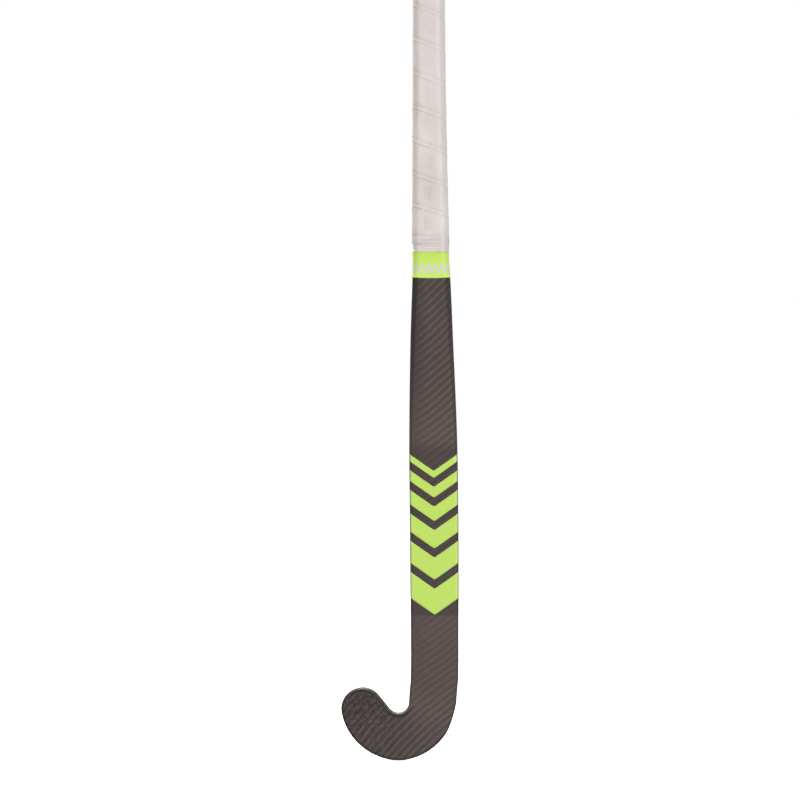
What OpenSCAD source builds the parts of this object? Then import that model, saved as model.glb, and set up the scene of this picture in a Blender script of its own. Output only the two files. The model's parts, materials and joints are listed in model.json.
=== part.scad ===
// Field hockey stick: a hollow composite shaft and hook, foam cores, handle fittings and a wound grip.
// Heights are measured up from the base of the head. The handle's centre line is the Z axis, the playing
// face looks along -Y and the hook's toe points along -X. The finished part hangs below its origin, which
// is the centre of the butt end.

/* [Stick] */
// Overall length, base of the head to the butt end
stick_length = 927; // [770:1:1115]
// Deepest gap under the shaft when the stick lies on its face
bow_depth = 20; // [0:0.5:25]
// Height at which the straight head ends and the bow starts
bow_start = 100; // [90:1:130]
// Height at which the bow ends and the straight handle starts
bow_end = 400; // [320:1:480]

/* [Blade and handle outline] */
// Blade width at its widest
blade_w = 48.7; // [40:0.1:58]
// Blade width just above the hook
heel_w = 47.9; // [39:0.1:57]
// Bare width just below the collar band
shoulder_w = 38.6; // [32:0.1:46]
// Bare width at the bottom of the grip
throat_w = 35.4; // [29.5:0.1:43]
// Bare width halfway up the grip
mid_handle_w = 30.7; // [26:0.1:37]
// Bare width at the butt end
butt_w = 28.6; // [24:0.1:35]
// Distance from the handle's centre line to the blade's centre line
blade_offset = 5.8; // [0:0.1:7]
// Height of the blade's widest part
widest_height = 235; // [195:1:285]
// Height at which the blade starts to narrow
blade_top = 325; // [300:1:390]
// Blade depth, face to back
blade_d = 21.5; // [18:0.1:26]
// Bare handle depth
handle_d = 25.4; // [22:0.1:31]
// Width of the rounding between face and edge, on the blade
face_round = 3.6; // [2.6:0.1:6]
// Width of the rounding between face and edge, on the handle
handle_round = 9; // [7:0.1:10]

/* [Head] */
// Radius of the inside of the hook
crotch_r = 10.8; // [9:0.1:13]
// How far the inside of the hook starts past the blade's toe-side edge
hook_tuck = 1.9; // [0:0.05:3]
// Radius of the outside of the hook, about the same centre
hook_r = 57.8; // [52:0.1:60]
// How far the sole stands out from that radius
sole_drop = 0.7; // [0:0.1:3]
// How far the heel stands out from that radius where it meets the shaft, and tucks in just below
heel_ease = 0.9; // [0:0.1:1.5]
// Radius of the toe
toe_r = 21.4; // [18:0.1:24]
// How far the toe's centre lies below the hook's centre, as an angle
toe_angle = 11.5; // [5:0.1:20]
// Head depth at the toe
toe_d = 20.5; // [17:0.1:25]

/* [Laminate] */
// Wall of the moulded shell
shell_t = 2.4; // [1.8:0.1:3.4]
// Wall between the two chambers of the shaft
web_t = 1.6; // [1.2:0.1:2.4]
// Reinforcing plate behind the playing face
strike_plate_t = 1.2; // [0.8:0.1:2]
// Glue line between bonded pieces
bond = 0.15; // [0.1:0.01:0.25]

/* [Cores] */
// Height at which the head core ends and the two shaft cores start
core_split = 126; // [110:1:150]
// Length of the damping insert
damper_length = 48; // [30:1:70]

/* [Butt fittings] */
// Thickness of the end cap's flange
cap_t = 3.2; // [2.2:0.1:5]
// Rounding of the end cap's top edge
cap_round = 1.4; // [0.6:0.1:2]
// Radius of the end cap's stem
stem_r = 4; // [3:0.1:5]
// Length of the end cap's stem below its flange
stem_length = 16; // [10:1:22]
// Length of the closing plug
plug_length = 30; // [24:1:45]
// Running gap around the stem
stem_gap = 0.05; // [0.02:0.01:0.1]

/* [Grip] */
// Length of handle under the grip, from the butt end to the finishing tape's lower edge
grip_length = 417; // [345:0.5:430]
// Thickness of the grip tape
grip_t = 1.3; // [1:0.1:2]
// Thickness of the double-sided tape under the grip
adhesive_t = 0.2; // [0.15:0.01:0.3]
// Width of the finishing tape
finish_w = 14; // [10:0.5:20]
// Thickness of the finishing tape
finish_t = 0.3; // [0.2:0.05:0.5]
// How far the finishing tape laps over the grip tape
finish_lap = 6.5; // [4:0.5:8]
// Width of the collar band
collar_w = 27.4; // [18:0.1:40]
// Thickness of the collar band
collar_t = 0.45; // [0.3:0.05:0.8]
// Thickness of the hem along the collar band's lower edge
hem_t = 0.7; // [0.4:0.05:1]
// Width of that hem
hem_w = 2.6; // [1.5:0.1:4]

/* [Transfers] */
// Height of the lowest chevron's point
chevrons_base = 144.5; // [130:0.5:170]
// Height of the lowest chevron's arms
first_chevron = 26; // [20:1:32]
// Height of the highest chevron's arms
last_chevron = 7; // [4:1:12]
// Number of chevrons
chevron_count = 6; // [3:1:6]
// Gap between chevrons
chevron_gap = 9; // [6:1:12]
// Rise of a chevron from its point to the ends of its arms
chevron_rise = 17; // [0:1:26]
// Thickness of the transfer film
film_t = 0.12; // [0.08:0.01:0.2]

/* [Hidden] */

// Mesh fineness: segments of half a section, and spacing of sections.
flat_n = 2;
round_n = 4;
back_n = 6;
half_n = flat_n + round_n + back_n;
ring_n = 2 * half_n;
shaft_step = 17;
hook_n = 28;
toe_n = 12;
cap_n = 4;

// Small gap between pieces that are wound or laid on each other.
lay = 0.02;
// How far the bore for the end cap's stem is cut past the stem's ends.
overcut = 1;
// Margin between the transfers and the rounding at the face's edges.
film_margin = 0.3;

// Depth of the playing face's layers behind the shell: the strike plate between two glue lines.
plate_back = shell_t + 2 * bond + strike_plate_t;
// Depth of the rounding between face and edge on the blade, enough to hold those layers.
edge_round = max(4.6, plate_back + 0.5);

// Heights worked out from the butt end.
laminate_top = stick_length - cap_t;
plug_base = laminate_top - plug_length;
damper_base = plug_base - damper_length;
finish_base = stick_length - grip_length;
finish_top = finish_base + finish_w;
grip_base = finish_top - finish_lap;
collar_base = finish_base - lay - collar_w;

// The bow is a shear along Y: straight head, parabolic blade, straight handle.
bow_middle = (bow_start + bow_end) / 2;
bow_peak = bow_end - bow_middle / stick_length * (bow_end - bow_start);
bow_slope = bow_depth / (bow_middle * (1 - bow_peak / stick_length)
    - pow(bow_middle / stick_length, 2) * (bow_end - bow_start) / 2);
function bow_curve(z) =
    z >= bow_end ? 0
    : z >= bow_start ? -bow_slope / (bow_end - bow_start) / 2 * pow(bow_end - z, 2)
    : -bow_slope * (bow_middle - z);

// The hook's centre: its outside touches height 0 at the sole.
hook_z = hook_r + sole_drop;
hook_x = blade_offset - heel_w / 2 - hook_tuck - crotch_r;
hook = [hook_x, hook_z];

// Stations of the shaft, from the hook up: height, toe-side edge, heel-side edge, depth, rounding along
// the width, rounding along the depth, and the exponent that shapes the back.
function station(height, centre, width, depth, round_u, round_v, power) =
    [height, centre - width / 2, centre + width / 2, depth, round_u, round_v, power];
blade_power = 2.3;
handle_power = 2.6;
throat_height = (blade_top + finish_base) / 2;
shoulder_height = throat_height + 0.66 * (finish_base - throat_height);
mid_handle = finish_base + 0.45 * grip_length;
hook_w = outer_r(0) - crotch_r;
TABLE = [
    station(hook_z, hook_x + crotch_r + hook_w / 2, hook_w, blade_d, face_round, edge_round, blade_power),
    station(hook_z + 24, blade_offset - 0.25, heel_w, blade_d, face_round, edge_round, blade_power),
    station(hook_z + 56, blade_offset, heel_w, blade_d, face_round, edge_round, blade_power),
    station(widest_height, blade_offset * 0.92, blade_w, blade_d, face_round, edge_round, blade_power),
    station(blade_top, blade_offset * 0.75, blade_w - 0.6, blade_d + 0.4, face_round * 1.15, 5.6, 2.35),
    station(throat_height, blade_offset * 0.52, throat_w * 0.42 + blade_w * 0.58,
        blade_d * 0.62 + handle_d * 0.38, face_round * 1.7, 7.6, 2.4),
    station(shoulder_height, blade_offset * 0.45, shoulder_w,
        blade_d * 0.33 + handle_d * 0.67, handle_round * 0.87, 9.4, 2.47),
    station(finish_base, blade_offset * 0.33, throat_w, handle_d - 0.9, handle_round, 10.4, 2.5),
    station(mid_handle, 0, mid_handle_w, handle_d, handle_round, handle_d / 2, handle_power),
    station(stick_length, 0, butt_w, handle_d, handle_round, handle_d / 2, handle_power)
];
TOP = len(TABLE) - 1;

// Smooth interpolation between stations, with the slope at each worked out from its neighbours.
function rise(k, column) =
    k == 0 || k == TOP ? 0
    : (TABLE[k + 1][column] - TABLE[k - 1][column]) / (TABLE[k + 1][0] - TABLE[k - 1][0]);
function segment(z, k = 0) = k == TOP - 1 || z <= TABLE[k + 1][0] ? k : segment(z, k + 1);
function at(z, column) =
    let (k = segment(z), z0 = TABLE[k][0], span = TABLE[k + 1][0] - z0, t = (z - z0) / span)
    TABLE[k][column] * (2 * pow(t, 3) - 3 * pow(t, 2) + 1)
    + TABLE[k + 1][column] * (3 * pow(t, 2) - 2 * pow(t, 3))
    + rise(k, column) * span * (pow(t, 3) - 2 * pow(t, 2) + t)
    + rise(k + 1, column) * span * (pow(t, 3) - pow(t, 2));

// A frame is one section's place and shape: its middle, the direction of its width, half its width, how
// deep its back lies, the two roundings, the power of the back and how far forward its face lies.
function shaft_frame(z) =
    let (left = at(z, 1), right = at(z, 2))
    [[(left + right) / 2, z], [1, 0], (right - left) / 2, at(z, 3) / 2, at(z, 4), at(z, 5), at(z, 6),
        at(z, 3) / 2];

// Outline of the hook, in polar form about its centre. Angles run from 0 at the heel to the toe.
function polar(r, angle) = hook + r * [cos(angle), -sin(angle)];
toe_distance = hook_r - toe_r;
toe_centre = polar(toe_distance, 180 - toe_angle);
tangent = acos((toe_r + crotch_r) / toe_distance);
inner_tangent_angle = 180 - toe_angle - tangent;
toe_tangent = toe_centre - toe_r * (polar(1, inner_tangent_angle) - hook);
inner_end_angle = 360 - atan2(toe_tangent[1] - hook_z, toe_tangent[0] - hook_x);
function bump(angle, middle, spread) = exp(-pow((angle - middle) / spread, 2));
function outer_r(angle) =
    hook_r + sole_drop * bump(angle, 88, 22) + heel_ease * (exp(-angle / 4) - 0.9 * bump(angle, 18, 12));
function inner_r(angle) =
    angle <= inner_tangent_angle ? crotch_r : crotch_r / cos(angle - inner_tangent_angle);
// From this share of the hook's sweep on, the inside runs ahead to meet the toe.
run_ahead = 0.82;
function hook_frame(t) =
    let (outer_angle = (180 - toe_angle) * t,
        ahead = max(0, (t - run_ahead) / (1 - run_ahead)),
        inner_angle = outer_angle + (inner_end_angle - 180 + toe_angle) * ahead,
        outer = polar(outer_r(outer_angle), outer_angle),
        inner = polar(inner_r(inner_angle), inner_angle),
        across = outer - inner)
    [(outer + inner) / 2, across / norm(across), norm(across) / 2,
        blade_d / 2 + (toe_d - blade_d) * t, face_round, edge_round, blade_power, blade_d / 2];

// A section drawn in by one distance all round, and by another at the face. The widest point stays at its
// depth, so sections drawn in by different distances nest.
least_round = 0.5;
function inset(frame, all, face) =
    [frame[0], frame[1], frame[2] - all, frame[3] - all, max(frame[4] - all, 2 * least_round),
        max(frame[5] - face, least_round), frame[6], frame[7] - face, all];

// Half of a section, from the middle of the face round the heel side to the middle of the back, as
// [across, depth] points. start is where the section begins across, for a half beside the web.
function half_section(frame, start = 0) =
    let (a = frame[2], ru = min(frame[4], 0.8 * a), rv = frame[5], face = -frame[7],
        deep = frame[3] - face - rv,
        last = acos(pow(start / a, frame[6] / 2)))
    concat(
        [for (i = [0 : flat_n]) [start + (a - ru - start) * i / flat_n, face]],
        [for (i = [1 : round_n]) let (p = 90 * i / round_n)
            [a - ru + ru * sin(p), face + rv * (1 - cos(p))]],
        [for (i = [1 : back_n]) let (p = last * i / back_n)
            [a * pow(cos(p), 2 / frame[6]), face + rv + deep * pow(sin(p), 2 / frame[6])]]);
function mirrored(points) = [for (i = [len(points) - 1 : -1 : 0]) [-points[i][0], points[i][1]]];
function full_section(frame) =
    let (half = half_section(frame), other = mirrored(half))
    concat(half, [for (i = [1 : half_n - 1]) other[i]]);
function placed(frame, p, direction) =
    let (m = frame[0] + p[0] * direction) [m[0], p[1] + bow(m[1]), m[1]];
function ring(frame) = [for (p = full_section(frame)) placed(frame, p, frame[1])];

// Frames along the stick. The shell has rings at evenly spaced heights and is straight between them. What
// lies in or on the shaft bends at the same heights, so it nests whatever the outline.
ring_gap = (laminate_top - hook_z) / ceil((laminate_top - hook_z) / shaft_step);
function rings_down(z) = (laminate_top - z) / ring_gap;
function ring_height(i) = laminate_top - ring_gap * i;
function skin_frame(z) =
    let (i = floor(rings_down(z)), t = rings_down(z) - i)
    (1 - t) * shaft_frame(ring_height(i)) + t * shaft_frame(ring_height(i + 1));
function bow(z) =
    let (i = floor(rings_down(z)), t = rings_down(z) - i)
    (1 - t) * bow_curve(ring_height(i)) + t * bow_curve(ring_height(i + 1));
// Ring heights nearer than this share of a gap to an end are left out.
ring_skip = 0.05;
function rows(top, bottom) =
    let (first = floor(rings_down(top) + ring_skip) + 1, last = ceil(rings_down(bottom) - ring_skip) - 1)
    concat(top, [for (i = [first : 1 : last]) ring_height(i)], bottom);
function shaft_frames(top, bottom, all, face) =
    [for (z = rows(top, bottom)) inset(skin_frame(z), all, face)];
function hook_frames(all, face) = [for (i = [1 : hook_n]) inset(hook_frame(i / hook_n), all, face)];

// Triangles of a band between two loops of n points, wound to face outwards, or inwards when flipped.
function turned(face, flip) = flip ? [face[0], face[2], face[1]] : face;
function pair(a, b, c, d, flip) = [turned([a, b, c], flip), turned([a, c, d], flip)];
function band(upper, lower, n, flip = false) =
    [for (k = [0 : n - 1]) let (next = (k + 1) % n)
        each pair(upper + k, upper + next, lower + next, lower + k, flip)];
function bands(count, n, base = 0, flip = false) =
    [for (i = [0 : count - 2]) each band(base + i * n, base + (i + 1) * n, n, flip)];
function flatten(lists) = [for (l = lists) each l];

// The toe's rounded end: half sections turned about the depth direction, out to the toe's circle.
function toe_reach(frame, direction, all) =
    let (c = toe_centre - frame[0], along = c * direction)
    along + sqrt(pow(toe_r - all, 2) - c * c + pow(along, 2));
function toe_points(frame) = [for (m = [1 : toe_n - 1])
    let (angle = 180 * m / toe_n, across = frame[1],
        direction = cos(angle) * across + sin(angle) * [across[1], -across[0]],
        reach = toe_reach(frame, direction, frame[8]),
        wide = [for (i = [0 : 8]) i == 2 ? reach : frame[i]],
        half = half_section(wide))
    for (j = [1 : half_n - 1]) placed(frame, half[j], direction)];
function toe_index(m, j, last, base) =
    j == 0 ? last
    : j == half_n ? last + half_n
    : m == 0 ? last + j
    : m == toe_n ? last + ring_n - j
    : base + (m - 1) * (half_n - 1) + j - 1;
function toe_faces(last, base, flip = false) =
    [for (m = [0 : toe_n - 1]) for (j = [0 : half_n - 1])
        let (a = toe_index(m, j, last, base), b = toe_index(m, j + 1, last, base),
            c = toe_index(m + 1, j + 1, last, base), d = toe_index(m + 1, j, last, base))
        each j == 0 ? [turned([a, b, c], flip)]
            : j == half_n - 1 ? [turned([a, b, d], flip)]
            : pair(a, b, c, d, flip)];

// A flat end over n points from base on: a fan whose apex is one of them.
function lid(base, n, apex, flip) =
    [for (k = [1 : n - 2]) turned([base + apex, base + (apex + k) % n, base + (apex + k + 1) % n], flip)];

// A solid through loops of points with flat ends. The apex of each end is off the straight face.
module loft(loops, apex) {
    n = len(loops[0]);
    count = len(loops);
    polyhedron(flatten(loops),
        concat(lid(0, n, apex, true), bands(count, n), lid((count - 1) * n, n, apex, false)));
}

// A tube between outer and inner loops of the same number of points.
module sleeve(outer, inner) {
    n = len(outer[0]);
    count = len(outer);
    far = count * n;
    polyhedron(flatten(concat(outer, inner)), concat(
        bands(count, n), bands(count, n, far, true),
        band(far, 0, n), band(far - n, 2 * far - n, n)));
}

// Everything is drawn upwards from the base of the head and then hung from the butt end.
module hang() translate([0, 0, -stick_length]) children();

// ---- Composite body ----

module shell() {
    outer = concat(shaft_frames(laminate_top, hook_z, 0, 0), hook_frames(0, 0));
    inner = concat(shaft_frames(laminate_top, hook_z, shell_t, shell_t), hook_frames(shell_t, shell_t));
    count = len(outer);
    far = count * ring_n;
    toe_count = (toe_n - 1) * (half_n - 1);
    toe_out = 2 * far;
    toe_in = toe_out + toe_count;
    points = concat(flatten([for (f = outer) ring(f)]), flatten([for (f = inner) ring(f)]),
        toe_points(outer[count - 1]), toe_points(inner[count - 1]));
    faces = concat(bands(count, ring_n), bands(count, ring_n, far, true), band(far, 0, ring_n),
        toe_faces(far - ring_n, toe_out), toe_faces(2 * far - ring_n, toe_in, true));
    color([0.3, 0.27, 0.26]) hang() polyhedron(points, faces);
}

// Frames of what is glued inside the shell, and of what is glued inside both chambers of the shaft.
function filling_frames(top, bottom) = shaft_frames(top, bottom, shell_t + bond, shell_t + bond);
chamber_frames = filling_frames(damper_base - bond, core_split + bond);

module centre_web() {
    color([0.2, 0.2, 0.2]) hang() loft([for (f = chamber_frames)
        let (s = half_section(f, web_t / 2), edge = [s[0], s[half_n]])
        [for (p = concat(edge, mirrored(edge))) placed(f, p, f[1])]], 0);
}

module shaft_core(side) {
    start = web_t / 2 + bond;
    color([0.93, 0.85, 0.62]) hang() loft([for (f = chamber_frames)
        let (s = half_section(f, start))
        [for (p = side > 0 ? s : mirrored(s)) placed(f, p, f[1])]], side > 0 ? half_n : 0);
}
module core_toe_side() shaft_core(-1);
module core_heel_side() shaft_core(1);

module head_core() {
    frames = concat(shaft_frames(core_split, hook_z, shell_t + bond, plate_back),
        hook_frames(shell_t + bond, plate_back));
    count = len(frames);
    last = (count - 1) * ring_n;
    color([0.86, 0.8, 0.72]) hang() polyhedron(
        concat(flatten([for (f = frames) ring(f)]), toe_points(frames[count - 1])),
        concat(lid(0, ring_n, half_n, true), bands(count, ring_n), toe_faces(last, count * ring_n)));
}

module strike_plate() {
    front = shell_t + bond;
    frames = concat(shaft_frames(core_split, hook_z, front, front), hook_frames(front, front));
    color([0.85, 0.75, 0.3]) hang() loft([for (f = frames)
        let (reach = f[2] - f[4] - bond, face = -f[7])
        [for (p = [[-reach, face], [reach, face], [reach, face + strike_plate_t],
            [-reach, face + strike_plate_t]]) placed(f, p, f[1])]], 0);
}

// ---- Handle fittings ----

module filling(top, base) {
    loft([for (f = filling_frames(top, base)) ring(f)], half_n);
}

module damping_insert() {
    color([0.15, 0.15, 0.16]) hang() filling(plug_base - bond, damper_base);
}

module handle_plug() {
    color([0.12, 0.12, 0.12]) hang() difference() {
        filling(laminate_top, plug_base);
        translate([0, 0, laminate_top - stem_length - overcut])
            cylinder(r = stem_r + stem_gap, h = stem_length + 2 * overcut, $fn = 48);
    }
}

// The cap covers the ends of the laminate and of the grip tape.
module end_cap() {
    out = -(adhesive_t + grip_t + 2 * lay);
    function cap_ring(z, all) = [for (p = full_section(inset(shaft_frame(stick_length), all, all)))
        [p[0], p[1], z]];
    arc = [for (i = [0 : cap_n]) let (p = 90 * i / cap_n)
        cap_ring(stick_length - cap_round * (1 - sin(p)), out + cap_round * (1 - cos(p)))];
    color([0.1, 0.1, 0.1]) hang() union() {
        loft([for (i = [cap_n : -1 : -1]) i < 0 ? cap_ring(laminate_top + lay, out) : arc[i]], half_n);
        translate([0, 0, laminate_top - stem_length])
            cylinder(r = stem_r, h = stem_length + cap_t / 2, $fn = 48);
    }
}

// ---- Grip ----

// A sleeve on the handle. profile lists [height, inner offset, outer offset] from the top down.
module wound(profile) {
    levels = [profile[0], for (i = [1 : len(profile) - 1])
        let (a = profile[i - 1], b = profile[i], heights = rows(a[0], b[0]))
        for (k = [1 : len(heights) - 1]) a + (b - a) * (a[0] - heights[k]) / (a[0] - b[0])];
    sleeve([for (l = levels) ring(inset(skin_frame(l[0]), -l[2], -l[2]))],
        [for (l = levels) ring(inset(skin_frame(l[0]), -l[1], -l[1]))]);
}

// Offsets of the adhesive tape's outside and of the grip tape's outside from the laminate, and how much
// thinner the grip tape is at its lower edge, which tapers over edge_taper.
under = lay + adhesive_t;
over = under + lay + grip_t;
edge_loss = 0.4 * grip_t;
edge_taper = 3;
// The bare ends of the handle that the adhesive tape leaves at its top and bottom.
wrap_top_margin = 2;
wrap_base_margin = 4;

module adhesive_wrap() {
    color([0.8, 0.78, 0.7]) hang()
        wound([[laminate_top - wrap_top_margin, lay, under], [grip_base + wrap_base_margin, lay, under]]);
}

module grip_tape() {
    color([0.86, 0.84, 0.82]) hang() wound([[laminate_top, under + lay, over],
        [grip_base + edge_taper, under + lay, over], [grip_base, under + lay, over - edge_loss]]);
}

// The tape lies on the grip tape, steps down its edge within step_h and ends on the laminate.
module finishing_tape() {
    step_h = 2.5;
    on_grip = over + lay;
    on_edge = on_grip - edge_loss;
    color([0.85, 0.83, 0.81]) hang() wound([
        [finish_top, on_grip, on_grip + finish_t],
        [grip_base + edge_taper, on_grip, on_grip + finish_t],
        [grip_base - lay, on_edge, on_edge + finish_t],
        [grip_base - step_h, lay, lay + finish_t],
        [finish_base, lay, lay + finish_t]]);
}

module collar_band() {
    bevel = 0.3;
    film = lay + collar_t;
    hem = lay + hem_t;
    color([0.78, 0.91, 0.42]) hang() wound([
        [finish_base - lay, lay, film],
        [collar_base + hem_w, lay, film],
        [collar_base + hem_w - bevel, lay, hem],
        [collar_base + bevel, lay, hem],
        [collar_base, lay, hem - bevel / 2]]);
}

// ---- Printed transfers ----

// A thin film chevron across the flat of the face, with its point towards the head.
module chevron(base, height) {
    across_n = 4;
    up_n = 4;
    // A point of the film, u from -1 to 1 across the face and off proud of it.
    function film(u, h, off) =
        let (z = base + h + chevron_rise * abs(u), f = skin_frame(z), reach = f[2] - f[4] - film_margin)
        placed(f, [u * reach, -f[7] - lay - off], f[1]);
    grid = [for (off = [film_t, 0]) for (j = [up_n : -1 : 0]) for (i = [0 : across_n])
        film(2 * i / across_n - 1, height * j / up_n, off)];
    w = across_n + 1;
    back = w * (up_n + 1);
    edge = concat([for (i = [0 : across_n - 1]) i], [for (j = [0 : up_n - 1]) j * w + across_n],
        [for (i = [across_n : -1 : 1]) up_n * w + i], [for (j = [up_n : -1 : 1]) j * w]);
    n = len(edge);
    polyhedron(grid, concat(
        [for (j = [0 : up_n - 1]) for (i = [0 : across_n - 1])
            let (a = j * w + i) each pair(a, a + 1, a + w + 1, a + w, false)],
        [for (j = [0 : up_n - 1]) for (i = [0 : across_n - 1])
            let (a = back + j * w + i) each pair(a, a + 1, a + w + 1, a + w, true)],
        [for (k = [0 : n - 1]) let (a = edge[k], b = edge[(k + 1) % n])
            each pair(a, back + a, back + b, b, false)]));
}

chevron_step = (first_chevron - last_chevron) / (chevron_count - 1);
function chevron_height(i) = first_chevron - chevron_step * i;
function chevron_base(i) =
    i == 0 ? chevrons_base : chevron_base(i - 1) + chevron_height(i - 1) + chevron_gap;
module face_transfers() {
    color([0.75, 0.88, 0.39]) hang()
        for (i = [0 : chevron_count - 1]) chevron(chevron_base(i), chevron_height(i));
}

shell();
centre_web();
core_toe_side();
core_heel_side();
head_core();
strike_plate();
damping_insert();
handle_plug();
end_cap();
adhesive_wrap();
grip_tape();
finishing_tape();
collar_band();
face_transfers();
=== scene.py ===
import json
import math
import random
from collections import namedtuple

import bpy
import numpy as np
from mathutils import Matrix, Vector


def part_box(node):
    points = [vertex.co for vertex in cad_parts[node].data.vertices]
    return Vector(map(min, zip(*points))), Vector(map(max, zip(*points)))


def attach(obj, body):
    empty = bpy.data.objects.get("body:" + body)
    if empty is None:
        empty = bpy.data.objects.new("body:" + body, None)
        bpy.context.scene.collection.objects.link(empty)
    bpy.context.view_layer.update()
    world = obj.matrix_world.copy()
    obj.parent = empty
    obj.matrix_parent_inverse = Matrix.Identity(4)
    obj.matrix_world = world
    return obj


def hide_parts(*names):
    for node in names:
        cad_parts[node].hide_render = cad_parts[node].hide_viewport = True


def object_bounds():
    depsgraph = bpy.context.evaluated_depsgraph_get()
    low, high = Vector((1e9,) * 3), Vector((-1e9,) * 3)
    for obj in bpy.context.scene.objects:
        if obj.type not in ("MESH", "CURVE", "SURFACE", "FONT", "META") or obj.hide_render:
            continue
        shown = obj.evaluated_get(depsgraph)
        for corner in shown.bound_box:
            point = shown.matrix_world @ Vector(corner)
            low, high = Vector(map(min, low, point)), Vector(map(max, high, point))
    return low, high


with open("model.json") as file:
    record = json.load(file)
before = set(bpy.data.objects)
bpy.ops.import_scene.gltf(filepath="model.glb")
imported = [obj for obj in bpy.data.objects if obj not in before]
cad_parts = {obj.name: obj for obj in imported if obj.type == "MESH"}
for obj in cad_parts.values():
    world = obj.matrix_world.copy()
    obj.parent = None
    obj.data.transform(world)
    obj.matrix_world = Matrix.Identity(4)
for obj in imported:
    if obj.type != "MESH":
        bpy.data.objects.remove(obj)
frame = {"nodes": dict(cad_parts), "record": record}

# Shapes are worked out in millimetres. Heights are measured up from the base of the head, and the stick
# hangs below its origin, which is the centre of the butt end.
MM = 0.001
cad_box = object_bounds()


def node_heights(node):
    """The lowest and highest heights of a CAD node above the base of the head."""
    low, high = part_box(node)
    return stick_length + low.z / MM, stick_length + high.z / MM


stick_length = -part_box("shell")[0].z / MM
laminate_top = node_heights("shell")[1]
grip_base = node_heights("grip_tape")[0]
finish_base, finish_top = node_heights("finishing_tape")
collar_base, collar_top = node_heights("collar_band")

# The moulding, as in the part's design.
bow_depth = 20.0
bow_start = 100.0
bow_end = 400.0
blade_w = 48.7
heel_w = 47.9
shoulder_w = 38.6
throat_w = 35.4
mid_handle_w = 30.7
butt_w = 28.6
blade_offset = 5.8
widest_height = 235.0
blade_top = 325.0
blade_d = 21.5
handle_d = 25.4
face_round = 3.6
edge_round = 4.6
handle_round = 9.0
blade_power = 2.3
handle_power = 2.6
crotch_r = 10.8
hook_tuck = 1.9
hook_r = 57.8
sole_drop = 0.7
heel_ease = 0.9
toe_r = 21.4
toe_angle = math.radians(11.5)
toe_d = 20.5
shell_t = 2.4
grip_length = 417.0

# ---- The moulding's sections ----

# One section: its middle (x, height), the direction of its width, half its width, how deep its back lies,
# the two roundings, the power of the back and how far forward its face lies.
Section = namedtuple("Section", "middle across half back round_u round_v power front")

bow_middle = (bow_start + bow_end) / 2
bow_span = bow_end - bow_start
bow_peak = bow_end - bow_middle / stick_length * bow_span
bow_slope = bow_depth / (
    bow_middle * (1 - bow_peak / stick_length) - (bow_middle / stick_length) ** 2 * bow_span / 2)


def bow(height):
    """How far the stick's middle lies back at a height: straight head, parabolic blade, straight handle."""
    height = np.asarray(height, float)
    blade = -bow_slope / bow_span / 2 * (bow_end - height) ** 2
    head = -bow_slope * (bow_middle - height)
    return np.where(height >= bow_end, 0.0, np.where(height >= bow_start, blade, head))


hook_z = hook_r + sole_drop
hook_x = blade_offset - heel_w / 2 - hook_tuck - crotch_r
hook = np.array([hook_x, hook_z])


def bump(value, middle, spread):
    """A bell curve, 1 at the middle."""
    return np.exp(-((value - middle) / spread) ** 2)


def outer_r(angle):
    degrees = math.degrees(angle)
    heel = math.exp(-degrees / 4) - 0.9 * bump(degrees, 18, 12)
    return hook_r + sole_drop * bump(degrees, 88, 22) + heel_ease * heel


def station(height, centre, width, depth, round_u, round_v, power):
    return height, centre - width / 2, centre + width / 2, depth, round_u, round_v, power


hook_w = outer_r(0) - crotch_r
throat_height = (blade_top + finish_base) / 2
shoulder_height = throat_height + 0.66 * (finish_base - throat_height)
mid_handle = finish_base + 0.45 * grip_length
STATIONS = np.array([
    station(hook_z, hook_x + crotch_r + hook_w / 2, hook_w, blade_d, face_round, edge_round, blade_power),
    station(hook_z + 24, blade_offset - 0.25, heel_w, blade_d, face_round, edge_round, blade_power),
    station(hook_z + 56, blade_offset, heel_w, blade_d, face_round, edge_round, blade_power),
    station(widest_height, blade_offset * 0.92, blade_w, blade_d, face_round, edge_round, blade_power),
    station(blade_top, blade_offset * 0.75, blade_w - 0.6, blade_d + 0.4, face_round * 1.15, 5.6, 2.35),
    station(throat_height, blade_offset * 0.52, throat_w * 0.42 + blade_w * 0.58,
            blade_d * 0.62 + handle_d * 0.38, face_round * 1.7, 7.6, 2.4),
    station(shoulder_height, blade_offset * 0.45, shoulder_w,
            blade_d * 0.33 + handle_d * 0.67, handle_round * 0.87, 9.4, 2.47),
    station(finish_base, blade_offset * 0.33, throat_w, handle_d - 0.9, handle_round, 10.4, 2.5),
    station(mid_handle, 0, mid_handle_w, handle_d, handle_round, handle_d / 2, handle_power),
    station(stick_length, 0, butt_w, handle_d, handle_round, handle_d / 2, handle_power),
])
SLOPES = np.zeros_like(STATIONS)
SLOPES[1:-1] = (STATIONS[2:] - STATIONS[:-2]) / (STATIONS[2:, :1] - STATIONS[:-2, :1])


def shaft_section(height):
    k = int(np.clip(np.searchsorted(STATIONS[:, 0], height) - 1, 0, len(STATIONS) - 2))
    span = STATIONS[k + 1, 0] - STATIONS[k, 0]
    t = (height - STATIONS[k, 0]) / span
    row = (STATIONS[k] * (2 * t**3 - 3 * t**2 + 1) + STATIONS[k + 1] * (3 * t**2 - 2 * t**3)
           + SLOPES[k] * span * (t**3 - 2 * t**2 + t) + SLOPES[k + 1] * span * (t**3 - t**2))
    left, right, depth, round_u, round_v, power = row[1:]
    return Section(np.array([(left + right) / 2, height]), np.array([1.0, 0.0]), (right - left) / 2,
                   depth / 2, round_u, round_v, power, depth / 2)


def polar(r, angle):
    return hook + r * np.array([math.cos(angle), -math.sin(angle)])


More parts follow.
